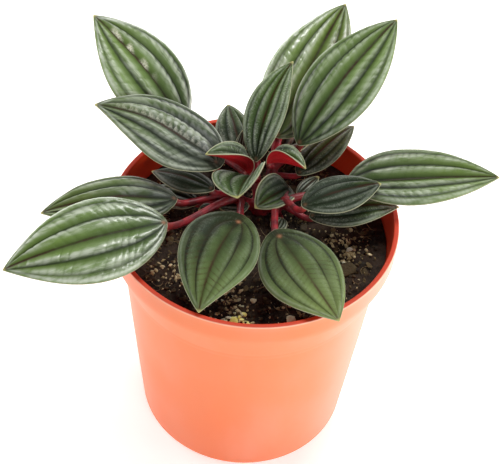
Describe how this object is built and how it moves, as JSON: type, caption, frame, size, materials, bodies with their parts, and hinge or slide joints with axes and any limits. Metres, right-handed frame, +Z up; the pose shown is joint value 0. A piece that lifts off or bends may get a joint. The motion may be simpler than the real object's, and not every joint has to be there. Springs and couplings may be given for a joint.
{
  "type": "potted peperomia",
  "caption": "Small foliage plant with ribbed oval leaves on short red stalks, growing in soil in a round tapered plastic nursery pot.",
  "frame": {"origin": "centre of the flat foot of the pot, on the surface that the pot stands on", "axes": "+Z up out of the pot, front of the plant towards -Y, +X to the right as seen from the front"},
  "size_m": [0.1894, 0.1447, 0.1589],
  "materials": {
    "pot": "thin moulded orange plastic with a soft satin sheen, deeper orange red inside and on the lip",
    "soil": "dark crumbly potting soil with bark chips and pale perlite grains",
    "crown": "smooth juicy crimson stems and leaf stalks with a wet satin sheen",
    "leaf": "ribbed dark green blade with silvery ridges, darker sunken veins, a pale margin and a crimson underside"
  },
  "bodies": {
    "root": {"pot": "pot", "soil": "soil", "crown": "crown", "leaf_back_left": "leaf", "leaf_left_upper": "leaf", "leaf_left_lower": "leaf", "leaf_front_left": "leaf", "leaf_front": "leaf", "leaf_front_right": "leaf", "leaf_right": "leaf", "leaf_back_right": "leaf", "leaf_back": "leaf", "leaf_centre_back": "leaf", "leaf_right_inner": "leaf", "leaf_right_under": "leaf", "leaf_back_right_under": "leaf", "leaf_left_inner": "leaf", "leaf_left_under": "leaf", "leaf_back_left_under": "leaf", "leaf_back_under": "leaf", "young_centre": "leaf", "young_left": "leaf", "young_right": "leaf", "young_front": "leaf", "young_right_small": "leaf", "young_front_left": "leaf", "young_back": "leaf", "young_back_right": "leaf", "bud_front": "leaf", "bud_left": "leaf", "bud_sprout": "leaf"}
  },
  "joints": []
}
